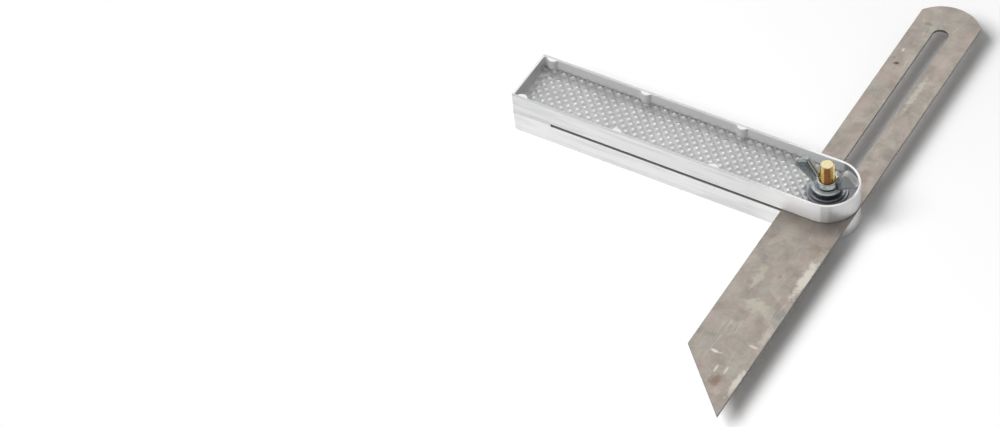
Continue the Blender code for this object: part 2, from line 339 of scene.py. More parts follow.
def stock_outline(inset):
    """The stock's plan at an inset, always with the same number of points."""
    corner = max(BUTT_CORNER_RADIUS - inset, TRAY_CORNER_RADIUS)
    left = inset - PIVOT_TO_BUTT + corner
    side = STOCK_WIDTH / 2 - inset - corner
    walls = [(x, wall_reach(x, inset)) for x in wall_places()]
    points = arc((0, 0), STOCK_WIDTH / 2 - inset, -QUARTER, QUARTER, ROUND_STEPS)
    points += list(reversed(walls))
    points += arc((left, side), corner, QUARTER, 2 * QUARTER, CORNER_STEPS)
    points += arc((left, -side), corner, 2 * QUARTER, 3 * QUARTER, CORNER_STEPS)
    points += [(x, -reach) for x, reach in walls]
    return points


def half_profile():
    """(inset, height) from the edge of the tray floor over the rim and down to the parting groove."""
    foot = RIM + TRAY_DRAFT
    fillet = TRAY_FOOT_FILLET
    points = arc((foot + fillet, TRAY_FLOOR + fillet), fillet, 3 * QUARTER, 2 * QUARTER, FILLET_STEPS)
    fillet = RIM_INNER_FILLET
    points += arc((RIM - fillet, HALF_HEIGHT - fillet), fillet, 0, QUARTER, FILLET_STEPS)
    fillet = RIM_OUTER_FILLET
    points += arc((fillet, HALF_HEIGHT - fillet), fillet, QUARTER, 2 * QUARTER, FILLET_STEPS)
    return points + [(0, PARTING_GROOVE_WIDTH / 2)]


def slit_cutter():
    half = STOCK_WIDTH / 2 + OVERRUN
    swing = math.asin(half / SAW_RADIUS)
    centre = SAW_RADIUS * math.cos(math.asin(STOCK_WIDTH / 2 / SAW_RADIUS)) - SLIT_REACH
    closed = arc((centre, 0), SAW_RADIUS, math.pi - swing, math.pi + swing, ARC_STEPS)
    return prism("slit_cutter", [(half, -half), (half, half)] + closed, -HALF_SLIT, HALF_SLIT)


def stock_shell():
    """The casting with plain tray floors, cut along its slit."""
    upper = half_profile()
    profile = upper + [(PARTING_GROOVE_DEPTH, 0)] + [(inset, -height) for inset, height in reversed(upper)]
    rings = [[(x, y, height) for x, y in stock_outline(inset)] for inset, height in profile]
    shell = loft("stock_shell", rings)
    combine(shell, slit_cutter(), "DIFFERENCE")
    break_edges(shell, SLIT_EDGE)
    return shell


def checkering(x, y):
    """Height of the softened and worn diamonds over the tray floor, for arrays of places."""
    period = DIAMOND_DIAGONAL / math.sqrt(2)
    lines = [(x - DIAMOND_PHASE + side * y) / math.sqrt(2) / period for side in (1, -1)]
    offsets = [((line + 0.5) % 1 - 0.5) * period for line in lines]
    furthest = np.maximum(*[np.hypot(offset, DIAMOND_SOFTNESS) for offset in offsets])
    height = DIAMOND_HEIGHT * (1 - 2 * furthest / period)
    turns = np.round(lines[0]) * SHUFFLE_TURNS[0] + np.round(lines[1]) * SHUFFLE_TURNS[1]
    shuffle = np.sin(turns) * SHUFFLE_SPREAD % 1
    height = np.minimum(height, DIAMOND_HEIGHT * DIAMOND_TOP_SHARE - DIAMOND_WEAR * shuffle)
    return np.maximum(height, DIAMOND_HEIGHT * DIAMOND_FOOT_SHARE) * diamond_share(x, y)


def diamond_share(x, y):
    """How high the diamonds stand, as they are flatter by the butt and in a band beside the far wall."""
    from_far_wall = STOCK_WIDTH / 2 - RIM - y
    into_band = np.clip((from_far_wall - FLAT_BAND_START) / FLAT_FADE, 0, 1)
    out_of_band = np.clip((FLAT_BAND_END - from_far_wall) / FLAT_FADE, 0, 1)
    near_butt = np.clip((FLAT_BUTT_END - PIVOT_TO_BUTT - x) / FLAT_FADE, 0, 1)
    round_end = np.clip((x - FLAT_ROUND_END) / FLAT_FADE, 0, 1)
    flat = np.maximum(np.minimum(into_band, out_of_band), near_butt)
    return (1 - (1 - FLAT_SHARE) * flat) * (1 - round_end)


def inside_stock(x, y, inset):
    reach = STOCK_WIDTH / 2 - inset
    straight = (x <= 0) & (x >= inset - PIVOT_TO_BUTT) & (np.abs(y) <= reach)
    return straight | ((x > 0) & (np.hypot(x, y) <= reach))


def border_edges(quads, count):
    """The directed edges that only one quad has."""
    starts = quads.reshape(-1)
    ends = np.roll(quads, -1, axis=1).reshape(-1)
    lone = ~np.isin(starts * count + ends, ends * count + starts)
    return np.stack([starts[lone], ends[lone]], axis=1)


def tray_lining(side):
    """A closed slab whose outer face is the checkered floor of one tray, and whose edge lies in the walls."""
    xs = np.arange(RIM / 2 - PIVOT_TO_BUTT, STOCK_WIDTH / 2, LINING_STEP)
    ys = np.arange(-STOCK_WIDTH / 2, STOCK_WIDTH / 2 + LINING_STEP, LINING_STEP)
    x, y = np.meshgrid(xs, ys, indexing="ij")
    number = np.where(inside_stock(x, y, RIM / 2), np.arange(x.size).reshape(x.shape), -1)
    corners = [number[:-1, :-1], number[1:, :-1], number[1:, 1:], number[:-1, 1:]]
    quads = np.stack(corners, axis=-1).reshape(-1, 4)
    quads = quads[(quads >= 0).all(axis=1)]
    used, quads = np.unique(quads, return_inverse=True)
    quads = quads.reshape(-1, 4)
    count = len(used)
    x, y = x.reshape(-1)[used], y.reshape(-1)[used]
    outer = np.stack([x, y, side * (TRAY_FLOOR + checkering(x, y))], axis=1)
    inner = np.stack([x, y, np.full(count, side * (TRAY_FLOOR - LINING_DEPTH))], axis=1)
    border = border_edges(quads, count)
    edge = np.stack([border[:, 1], border[:, 0], border[:, 0] + count, border[:, 1] + count], axis=1)
    faces = np.concatenate([quads, quads[:, ::-1] + count, edge])
    return solid("tray_lining", np.concatenate([outer, inner]).tolist(), faces.tolist())


def tray_seat(side):
    face = side * SEAT_FACE
    edge = side * SEAT_EDGE
    foot = side * (TRAY_FLOOR - LINING_DEPTH)
    profile = [(0, foot), (SEAT_RADIUS, foot)]
    profile += [(SEAT_RADIUS, face - edge), (SEAT_RADIUS - SEAT_EDGE, face), (0, face)]
    return turned("tray_seat", profile)


def screw_bore():
    """The stepped hole for the stud in the upper half of the stock and for the neck in the lower one."""
    profile = [(0, -HALF_HEIGHT), (NECK_RADIUS + CLEARANCE, -HALF_HEIGHT), (NECK_RADIUS + CLEARANCE, 0)]
    profile += [(STUD_RADIUS + CLEARANCE, 0), (STUD_RADIUS + CLEARANCE, HALF_HEIGHT), (0, HALF_HEIGHT)]
    return turned("screw_bore", profile)


def build_stock():
    stock = stock_shell()
    for side in (-1, 1):
        combine(stock, tray_lining(side), "UNION", "MANIFOLD")
        combine(stock, tray_seat(side), "UNION", "MANIFOLD")
    combine(stock, screw_bore(), "DIFFERENCE", "MANIFOLD")
    stock.name = "stock_casting"
    dress(stock, "stock", metal("bright_die_cast_aluminium", CASTING_LOOK))


def slot_outline():
    radius = SLOT_WIDTH / 2
    outer_end = arc((0, PIVOT_TO_APEX - SLOT_TO_APEX - radius), radius, 0, math.pi, ARC_STEPS)
    inner_end = arc((0, SLOT_INNER_CENTRE), radius, math.pi, math.tau, ARC_STEPS)
    return outer_end + inner_end


def blade_outline():
    half = BLADE_WIDTH / 2
    radius = (half**2 + APEX_RISE**2) / (2 * APEX_RISE)
    spread = math.asin(half / radius)
    points = arc((0, PIVOT_TO_APEX - radius), radius, QUARTER - spread, QUARTER + spread, ARC_STEPS)
    return [(half, -PIVOT_TO_POINT)] + points + [(-half, BLADE_WIDTH - PIVOT_TO_POINT)]


def build_blade():
    blade = prism("steel_blade", blade_outline(), -BLADE_THICKNESS / 2, BLADE_THICKNESS / 2)
    combine(blade, prism("slot_cutter", slot_outline(), -BLADE_THICKNESS, BLADE_THICKNESS), "DIFFERENCE")
    break_edges(blade, BLADE_EDGE)
    dress(blade, "blade", metal("tarnished_blade_steel", STEEL_LOOK))


def thread_radius(angle, height):
    """Radius of a worn right-hand thread, faded out under the chamfer at the stud's tip."""
    phase = (height / THREAD_PITCH - angle / math.tau) % 1
    depth = THREAD_DEPTH * max(0, 1 - abs(phase - 0.5) / THREAD_HALF_SHARE)
    limit = STUD_RADIUS - max(0, height - STUD_TIP + STUD_CHAMFER)
    return min(STUD_RADIUS - depth, limit)


def threaded_stud():
    low = -NECK_TOP
    rows = round((STUD_TIP - low) / THREAD_PITCH * THREAD_ROWS_A_TURN)
    rings = []
    for row in range(rows + 1):
        height = low + (STUD_TIP - low) * row / rows
        ring = []
        for step in range(ROUND_STEPS):
            angle = math.tau * step / ROUND_STEPS
            radius = thread_radius(angle, height)
            ring.append((radius * math.cos(angle), radius * math.sin(angle), height))
        rings.append(ring)
    return loft("threaded_stud", rings)


def screw_head():
    """The domed, slotted head in the lower tray with its flatted neck."""
    base = HEAD_FACE - HEAD_THICKNESS
    profile = [(0, NECK_TOP), (NECK_RADIUS - NECK_EDGE, NECK_TOP), (NECK_RADIUS, NECK_TOP - NECK_EDGE)]
    profile += [(NECK_RADIUS, HEAD_FACE), (HEAD_RADIUS - HEAD_EDGE, HEAD_FACE)]
    profile += [(HEAD_RADIUS, HEAD_FACE - HEAD_EDGE)]
    dome = (HEAD_RADIUS**2 + HEAD_DOME**2) / (2 * HEAD_DOME)
    spread = math.asin(HEAD_RADIUS / dome)
    profile += arc((0, base + dome), dome, spread - QUARTER, -QUARTER, CORNER_STEPS)[:-1] + [(0, base)]
    head = turned("screw_head", profile)
    for side in (-1, 1):
        low, high = sorted([side * NECK_HALF_FLATS, side * HEAD_RADIUS])
        flat = block("flat", (low, -HEAD_RADIUS, HEAD_FACE + NECK_COLLAR), (high, HEAD_RADIUS, HALF_HEIGHT))
        combine(head, flat, "DIFFERENCE")
    half = DRIVER_SLOT_WIDTH / 2
    reach = HEAD_RADIUS + OVERRUN
    slot = block("driver_slot", (-reach, -half, base - OVERRUN), (reach, half, base + DRIVER_SLOT_DEPTH))
    combine(head, slot, "DIFFERENCE")
    return head


def build_screw():
    screw = screw_head()
    combine(screw, threaded_stud(), "UNION")
    screw.name = "brass_screw"
    dress(screw, "clamp_screw", metal("turned_brass", BRASS_LOOK))


def stud_hole():
    reach = STUD_RADIUS + RUNNING_CLEARANCE
    profile = [(0, -HALF_HEIGHT), (reach, -HALF_HEIGHT), (reach, HALF_HEIGHT), (0, HALF_HEIGHT)]
    return turned("stud_hole", profile)


def build_washer():
    outer = (washer_high.x - washer_low.x) / 2
    thick = washer_high.z - washer_low.z
    edge = WASHER_EDGE
    profile = [(0, 0)] + arc((outer - edge, edge), edge, -QUARTER, 0, FILLET_STEPS)
    profile += arc((outer - edge, thick - edge), edge, 0, QUARTER, FILLET_STEPS) + [(0, thick)]
    washer = turned("flat_washer", profile)
    combine(washer, stud_hole(), "DIFFERENCE")
    finish = metal("shaded_washer_steel", SHADED_WASHER_LOOK)
    dress(washer, "nut_washer", finish, washer_low.z - PIVOT.z)


def squared(value):
    """A sine or cosine filled out, which brings an oval closer to a rectangle."""
    return math.copysign(abs(value) ** WING_SQUARENESS, value)


def section(root, tip, grown, past, fullness):
    """Half an oval's size, which grows from root to tip and is rounded off past it."""
    size = root + (tip - root) * grown
    return max(LEAST_SECTION, size * math.sqrt(max(0, 1 - past**fullness)))


def wing(side):
    """One wing: squared ovals from the hub to the tip's rounded end, wider and thinner on the way."""
    along = (WING_TIP - WING_ROOT).normalized()
    upward = Vector((-along.z, 0, along.x))
    length = (WING_TIP - WING_ROOT).length
    rings = []
    for index in range(WING_RINGS + 1):
        reach = (length + WING_TIP_CAP) * math.sin(QUARTER * index / WING_RINGS)
        grown = min(1, reach / length)
        past = max(0, reach - length) / WING_TIP_CAP
        half_width = section(*WING_RADII, grown, past, WING_TIP_ROUNDNESS)
        half_thickness = section(*WING_HALF_THICKNESSES, grown, past, WING_TIP_FULLNESS)
        ring = []
        for step in range(WING_STEPS):
            angle = math.tau * step / WING_STEPS
            place = WING_ROOT + along * reach + upward * half_width * squared(math.cos(angle))
            ring.append((side * place.x, half_thickness * squared(math.sin(angle)), place.z))
        rings.append(ring)
    return loft("wing", rings)


def nut_hub():
    """The hub over a flange that is undercut below and flares out in a hollow curve above."""
    flare = FLANGE_RADIUS - NUT_WAIST_RADIUS
    brim = FLANGE_HEIGHT + FLANGE_EDGE
    edge = NUT_TOP_EDGE
    profile = [(0, 0), (NUT_NECK_RADIUS, 0), (NUT_NECK_RADIUS, NUT_NECK_HEIGHT)]
    profile += [(FLANGE_RADIUS, FLANGE_HEIGHT)]
    profile += arc((FLANGE_RADIUS, brim + flare), flare, 3 * QUARTER, 2 * QUARTER, CORNER_STEPS)
    profile += arc((NUT_TOP_RADIUS - edge, NUT_HEIGHT - edge), edge, 0, QUARTER, FILLET_STEPS)
    return turned("nut_hub", profile + [(0, NUT_HEIGHT)])


def countersink():
    mouth = STUD_RADIUS + NUT_COUNTERSINK
    profile = [(0, NUT_HEIGHT - NUT_COUNTERSINK - STUD_RADIUS), (mouth, NUT_HEIGHT), (mouth, HALF_HEIGHT)]
    return turned("countersink", profile + [(0, HALF_HEIGHT)])


def build_nut():
    nut = nut_hub()
    for side in (-1, 1):
        combine(nut, wing(side), "UNION")
    combine(nut, stud_hole(), "DIFFERENCE")
    combine(nut, countersink(), "DIFFERENCE")
    cast = nut.modifiers.new("cast", "REMESH")
    cast.mode = "VOXEL"
    cast.voxel_size = NUT_VOXEL
    soften = nut.modifiers.new("soften", "SMOOTH")
    soften.factor = NUT_SMOOTHING
    soften.iterations = NUT_SMOOTHING_ROUNDS
    bake(nut, math.pi)
    nut.name = "cast_wing_nut"
    dress(nut, "wing_nut", metal("dark_nickel_plating", PLATING_LOOK), NUT_BASE)


# Shader building. The colour sockets of the mixing node have only their numbers
MIX_INPUTS = (0, 6, 7)
MIX_RESULT = 2


def add(tree, kind, inputs=None, **settings):
    """The outputs of a new node, whose inputs are given as values or as sockets to link from."""
    node = tree.nodes.new(kind)
    for key, value in settings.items():
        setattr(node, key, value)
    for key, value in (inputs or {}).items():
        fill_socket(tree, node.inputs[key], value)
    return node.outputs


def fill_socket(tree, socket, value):
    if isinstance(value, bpy.types.NodeSocket):
        tree.links.new(value, socket)
    elif isinstance(value, tuple) and len(socket.default_value) == 4:
        socket.default_value = (*value, 1)
    else:
        socket.default_value = value


def mix(tree, share, first, second):
    inputs = dict(zip(MIX_INPUTS, (share, first, second)))
    return add(tree, "ShaderNodeMix", inputs, data_type="RGBA")[MIX_RESULT]


def maths(tree, operation, first, second=0.0):
    return add(tree, "ShaderNodeMath", {0: first, 1: second}, operation=operation)[0]


def product(tree, *masks):
    result = masks[0]
    for other in masks[1:]:
        result = maths(tree, "MULTIPLY", result, other)
    return result


def opposite(tree, mask):
    return maths(tree, "SUBTRACT", 1.0, mask)


def between(tree, value, low, high, out_low=0.0, out_high=1.0):
    """A value's place from low to high, held to the range that it comes out in."""
    inputs = {"Value": value, "From Min": low, "From Max": high, "To Min": out_low, "To Max": out_high}
    return add(tree, "ShaderNodeMapRange", inputs)[0]


def parts_of(tree, vector):
    parts = add(tree, "ShaderNodeSeparateXYZ", {"Vector": vector})
    return parts["X"], parts["Y"], parts["Z"]


def length_of(tree, vector):
    return add(tree, "ShaderNodeVectorMath", {0: vector}, operation="LENGTH")["Value"]


def distance(tree, x, y):
    return length_of(tree, add(tree, "ShaderNodeCombineXYZ", {"X": x, "Y": y})[0])


def noise(tree, vector, scale, detail=2.0, roughness=0.5, distortion=0.0):
    inputs = {"Vector": vector, "Scale": scale, "Detail": detail}
    inputs.update({"Roughness": roughness, "Distortion": distortion})
    return add(tree, "ShaderNodeTexNoise", inputs)[0]


def group(name, inputs, output, fill):
    """A node group with one output, filled by a function of its tree and its input sockets."""
    made = bpy.data.node_groups.new(name, "ShaderNodeTree")
    for socket, value in inputs.items():
        kind = "NodeSocketFloat" if isinstance(value, float) else "NodeSocketVector"
        entry = made.interface.new_socket(socket, in_out="INPUT", socket_type=kind)
        if value is not None:
            entry.default_value = value
    made.interface.new_socket(output, in_out="OUTPUT", socket_type="NodeSocketFloat")
    source = made.nodes.new("NodeGroupInput")
    target = made.nodes.new("NodeGroupOutput")
    made.links.new(fill(made, source.outputs), target.inputs[output])
    return made


def use(tree, made, inputs):
    return add(tree, "ShaderNodeGroup", inputs, node_tree=made)[0]


# Patterns that several surfaces share. A range is (where it starts, where it is full)
BLOTCH_LARGE = {"detail": 4.0, "roughness": 0.6, "distortion": 0.6}
BLOTCH_SMALL = {"detail": 5.0, "roughness": 0.65}
BLOTCH_FINENESS = 5.3
BLOTCH_SMALL_SHARE = 0.3
GRAIN_FINE = {"detail": 3.0, "roughness": 0.7}
GRAIN_COARSE = {"detail": 2.0, "roughness": 0.6}
GRAIN_COARSENESS = 0.23
GRAIN_COARSE_SHARE = 0.35
SCRATCH_STRETCH = (1.0, 0.035, 1.0)
SCRATCH_WAVER = {"detail": 1.0, "distortion": 0.15}
SCRATCH_MIDDLE = 0.5
SCRATCH_HALF_WIDTH = 0.012
SCRATCH_LENGTHS = 0.06
SCRATCH_LENGTH_RANGE = (0.5, 0.6)
WEAR_SAMPLES = 6
WEAR_LEAN_RANGE = (0.995, 0.86)
STAIN_RAGS = {"scale": 420.0, "detail": 4.0, "roughness": 0.6}
STAIN_RAG_RANGE = (0.3, 0.7, -0.45, 0.45)
STAIN_REACH = 1.1


def add_shares(tree, first, second, second_share):
    """Two patterns laid together, with a share of the second."""
    kept = product(tree, first, 1 - second_share)
    return maths(tree, "ADD", kept, product(tree, second, second_share))


def blotch_group():
    """Soft-edged patches of two sizes, such as tarnish or dust leave."""
    def fill(tree, sockets):
        large = noise(tree, sockets["Vector"], sockets["Scale"], **BLOTCH_LARGE)
        finer = product(tree, sockets["Scale"], BLOTCH_FINENESS)
        small = noise(tree, sockets["Vector"], finer, **BLOTCH_SMALL)
        both = add_shares(tree, large, small, BLOTCH_SMALL_SHARE)
        full = maths(tree, "ADD", sockets["Threshold"], sockets["Softness"])
        return between(tree, both, sockets["Threshold"], full)
    inputs = {"Vector": None, "Scale": 40.0, "Threshold": 0.45, "Softness": 0.15}
    return group("blotches", inputs, "Mask", fill)


def grain_group():
    """Fine grain of two sizes, drawn out into lines by the stretch of the place."""
    def fill(tree, sockets):
        inputs = {"Vector": sockets["Vector"], "Scale": sockets["Stretch"]}
        place = add(tree, "ShaderNodeMapping", inputs)[0]
        fine = noise(tree, place, sockets["Scale"], **GRAIN_FINE)
        coarse = noise(tree, place, product(tree, sockets["Scale"], GRAIN_COARSENESS), **GRAIN_COARSE)
        return add_shares(tree, fine, coarse, GRAIN_COARSE_SHARE)
    return group("grain", {"Vector": None, "Stretch": (1.0, 1.0, 1.0), "Scale": 2000.0}, "Lines", fill)


def scratch_group():
    """Sparse hairline scratches along one direction, broken into short lengths."""
    def fill(tree, sockets):
        inputs = {"Vector": sockets["Vector"], "Rotation": sockets["Turn"], "Scale": SCRATCH_STRETCH}
        place = add(tree, "ShaderNodeMapping", inputs)[0]
        lines = noise(tree, place, sockets["Scale"], **SCRATCH_WAVER)
        lengths = noise(tree, sockets["Vector"], product(tree, sockets["Scale"], SCRATCH_LENGTHS))
        off_line = maths(tree, "ABSOLUTE", maths(tree, "SUBTRACT", lines, SCRATCH_MIDDLE))
        thin = between(tree, off_line, SCRATCH_HALF_WIDTH, 0.0)
        return product(tree, thin, between(tree, lengths, *SCRATCH_LENGTH_RANGE))
    return group("scratches", {"Vector": None, "Turn": (0.0, 0.0, 0.0), "Scale": 900.0}, "Mask", fill)


def wear_group():
    """A mask of the rubbed edges, from how far a rounded normal leans from the true one."""
    def fill(tree, sockets):
        rounded = add(tree, "ShaderNodeBevel", {"Radius": sockets["Radius"]}, samples=WEAR_SAMPLES)[0]
        true = add(tree, "ShaderNodeNewGeometry")["Normal"]
        lean = add(tree, "ShaderNodeVectorMath", {0: rounded, 1: true}, operation="DOT_PRODUCT")
        return between(tree, lean["Value"], *WEAR_LEAN_RANGE)
    return group("edge_wear", {"Radius": 0.0003}, "Mask", fill)


def swell_group():
    """A plain, low swell, for uneven skins and broken lines."""
    def fill(tree, sockets):
        return noise(tree, sockets["Vector"], sockets["Scale"], roughness=sockets["Roughness"])
    return group("swell", {"Vector": None, "Scale": 160.0, "Roughness": 0.5}, "Height", fill)


def stain_group():
    """A soft oval stain with a ragged edge."""
    def fill(tree, sockets):
        ragged = noise(tree, sockets["Vector"], **STAIN_RAGS)
        inputs = {"Vector": sockets["Vector"], "Location": sockets["Place"], "Scale": sockets["Size"]}
        oval = add(tree, "ShaderNodeMapping", inputs, vector_type="TEXTURE")[0]
        reach = maths(tree, "ADD", length_of(tree, oval), between(tree, ragged, *STAIN_RAG_RANGE))
        return between(tree, reach, STAIN_REACH, sockets["Core"])
    inputs = {"Vector": None, "Place": (0.0, 0.0, 0.0), "Size": (1.0, 1.0, 1.0), "Core": 0.5}
    return group("stain", inputs, "Mask", fill)


BLOTCHES = blotch_group()
GRAIN = grain_group()
SCRATCHES = scratch_group()
WEAR = wear_group()
SWELL = swell_group()
STAIN = stain_group()


def surface(name):
    """A new material with its tree, its shader and its object coordinates."""
    made = bpy.data.materials.new(name)
    made.use_nodes = True
    tree = made.node_tree
    place = add(tree, "ShaderNodeTexCoord")["Object"]
    return made, tree, tree.nodes["Principled BSDF"], place


def lay(tree, place, patterns):
    """A mask for each of a surface's patterns, given as (shared pattern, its inputs)."""
    masks = {}
    for name, (pattern, inputs) in patterns.items():
        where = {} if pattern is WEAR else {"Vector": place}
        masks[name] = use(tree, pattern, {**where, **inputs})
    return masks


def paint(tree, masks, colour, coats):
    """A colour with coats over it, each given as (mask, share, colour)."""
    for name, share, tone in coats:
        colour = mix(tree, product(tree, masks[name], share), colour, tone)
    return colour


def weigh(tree, masks, value, weights):
    """A value moved by the weight of each mask."""
    for name, weight in weights.items():
        value = maths(tree, "ADD", value, product(tree, masks[name], weight))
    return value


def emboss(tree, masks, relief):
    """The normal over layers of relief, each given as (mask, depth, strength)."""
    normal = None
    for name, depth, strength in relief:
        inputs = {"Height": masks[name], "Distance": depth, "Strength": strength}
        if normal:
            inputs["Normal"] = normal
        normal = add(tree, "ShaderNodeBump", inputs)[0]
    return normal


def metal(name, look):
    """A metal by its table: patterns, further masks, coats, roughness, metal share and relief."""
    made, tree, shader, place = surface(name)
    masks = lay(tree, place, look["patterns"])
    if "masks" in look:
        look["masks"](tree, place, masks)
    inputs = {
        "Base Color": paint(tree, masks, look["plain"], look["coats"]),
        "Roughness": weigh(tree, masks, look["roughness"], look["rougher"]),
        "Metallic": weigh(tree, masks, look.get("metallic", 1.0), look.get("duller", {})),
        "Normal": emboss(tree, masks, look["relief"]),
    }
    for socket, value in inputs.items():
        fill_socket(tree, shader.inputs[socket], value)
    return made


# Die cast aluminium: ground along its straight sides, smooth at its round end, greyer down in the trays
GROUND_SIDE_END = 0.0036
GROUND_SIDE_FADE = 0.0006
GROUND_RUN_OUT = 0.0028
GROUND_RUN_OUT_SHARE = 0.6
# Where the ground side near the pivot gets painted light and its rim a painted highlight
PAINTED_LIGHT_START = -0.030
PAINTED_LIGHT_END = -0.006
# Fade of the painted shade round the seat
SEAT_SHADE_FADE = 0.0012
TIP_START_SHARE = 0.62
TIP_END_SHARE = 0.8
BRIGHT_TIP_RANGE = (1.0, 0.0, 0.3, 1.0)
CASTING_BROKEN_ZONES = {
    "streaked": ("ground", "streaks", (0.48, 0.56)),
    "dull_rim": ("on_rim", "breaks", (0.6, 0.4, 0.3, 1.0)),
    "pale_floor": ("on_floor", "breaks", (0.42, 0.62)),
    # darker in patches in the grooves between the diamonds: painted shade with grime
    "groove_shade_and_grime": ("in_groove", "patches", (0.0, 1.0, 0.5, 0.9)),
    "joint": ("at_joint", "breaks", (0.4, 0.55)),
}
CASTING_DULL = (0.55, 0.555, 0.56)
# Painted shade with grime in the tray's grooves, and painted shade at the foot of the row by the far wall
TRAY_SHADE_AND_GRIME = (0.42, 0.42, 0.42)
# Painted shade in the slit, and the dark of the parting joint
SLIT_SHADE_AND_JOINT_DARK = (0.16, 0.16, 0.16)


def tray_zones(tree, inside, across, height):
    """Masks of a tray's walls, floor and diamonds, of the row of diamonds by the far wall, whose tips get
    painted highlights, and of that row's foot, which gets painted shade.
    """
    low = between(tree, height, TRAY_FLOOR + 2 * DIAMOND_HEIGHT, TRAY_FLOOR + DIAMOND_HEIGHT)
    on_floor = product(tree, inside, low)
    tip_start = TRAY_FLOOR + TIP_START_SHARE * DIAMOND_HEIGHT
    tip_end = TRAY_FLOOR + TIP_END_SHARE * DIAMOND_HEIGHT
    groove = between(tree, height, TRAY_FLOOR + DIAMOND_HEIGHT / 2, TRAY_FLOOR)
    from_far_wall = maths(tree, "SUBTRACT", STOCK_WIDTH / 2 - RIM, across)
    row_end = FLAT_BAND_START + FLAT_FADE / 2
    into_foot = between(tree, from_far_wall, FLAT_BAND_START, row_end)
    past_foot = between(tree, from_far_wall, FLAT_BAND_START + FLAT_FADE, FLAT_BAND_START + 2 * FLAT_FADE)
    return {
        "inside": inside,
        "on_wall": product(tree, inside, opposite(tree, on_floor)),
        "on_floor": on_floor,
        "in_groove": product(tree, inside, groove),
        "on_tip": product(tree, on_floor, between(tree, height, tip_start, tip_end)),
        "highlit_first_row": between(tree, from_far_wall, row_end, FLAT_BAND_START),
        "shaded_row_foot": product(tree, on_floor, maths(tree, "SUBTRACT", into_foot, past_foot)),
    }


def side_zones(tree, inside, along, height):
    """Masks of the ground sides with their run-out, of the round end left as cast, and of the rim, with
    painted light on the side and a painted highlight on the rim near the pivot.
    """
    outside = opposite(tree, inside)
    on_rim = between(tree, height, HALF_HEIGHT - RIM_OUTER_FILLET, HALF_HEIGHT)
    last_end = GROUND_SIDE_END + GROUND_RUN_OUT
    full = between(tree, along, GROUND_SIDE_END + GROUND_SIDE_FADE, GROUND_SIDE_END)
    run_out = between(tree, along, last_end + GROUND_SIDE_FADE, last_end, 0.0, GROUND_RUN_OUT_SHARE)
    ground = product(tree, maths(tree, "MAXIMUM", full, run_out), outside)
    painted_lighting_band = between(tree, along, PAINTED_LIGHT_START, PAINTED_LIGHT_END)
    return {
        "ground": ground,
        "as_cast": maths(tree, "SUBTRACT", outside, ground),
        "on_rim": on_rim,
        "dull_side": product(tree, ground, opposite(tree, on_rim)),
        "lit_side_near_pivot": product(tree, ground, painted_lighting_band),
        "highlit_rim_near_pivot": product(tree, on_rim, painted_lighting_band),
    }


def seat_shade_mask(tree, inside, along, across, height):
    """Painted shade on the seat round the screw, under the nut, and on the plain floor and walls of the round
    end beyond it.
    """
    near_pivot = between(tree, distance(tree, along, across), SEAT_RADIUS + SEAT_SHADE_FADE, SEAT_RADIUS)
    below_wall = between(tree, height, SEAT_FACE + 2 * SEAT_EDGE, SEAT_FACE)
    at_round_end = between(tree, along, FLAT_ROUND_END, FLAT_ROUND_END + FLAT_FADE)
    return maths(tree, "MAXIMUM", product(tree, near_pivot, below_wall), product(tree, at_round_end, inside))


def casting_masks(tree, place, masks):
    """The zones of the casting, and what a pattern does only in one zone."""
    along, across, up = parts_of(tree, place)
    height = maths(tree, "ABSOLUTE", up)
    reach = distance(tree, maths(tree, "MAXIMUM", along, 0.0), across)
    face = STOCK_WIDTH / 2 - RIM
    inside = between(tree, reach, face + RIM_INNER_FILLET, face)
    masks.update(tray_zones(tree, inside, across, height))
    masks.update(side_zones(tree, inside, along, height))
    masks["seat_and_round_end_shade"] = seat_shade_mask(tree, inside, along, across, height)
    masks["at_joint"] = between(tree, height, PARTING_GROOVE_WIDTH, 0.0)
    # painted shade along the slit's lips
    in_slit = between(tree, height, HALF_SLIT + SLIT_EDGE, HALF_SLIT)
    masks["shaded_slit"] = product(tree, in_slit, between(tree, reach, STOCK_WIDTH / 2, STOCK_WIDTH / 2 - SLIT_EDGE))
    masks["lined"] = product(tree, masks["lines"], masks["ground"])
    # Tips are paler where worn in patches, and get painted highlights in the row by the far wall
    bright = maths(tree, "MAXIMUM", masks["highlit_first_row"], between(tree, masks["patches"], *BRIGHT_TIP_RANGE))
    masks["worn_and_highlit_tip"] = product(tree, masks["on_tip"], bright)
    for name, (zone, pattern, shown) in CASTING_BROKEN_ZONES.items():
        masks[name] = product(tree, masks[zone], between(tree, masks[pattern], *shown))


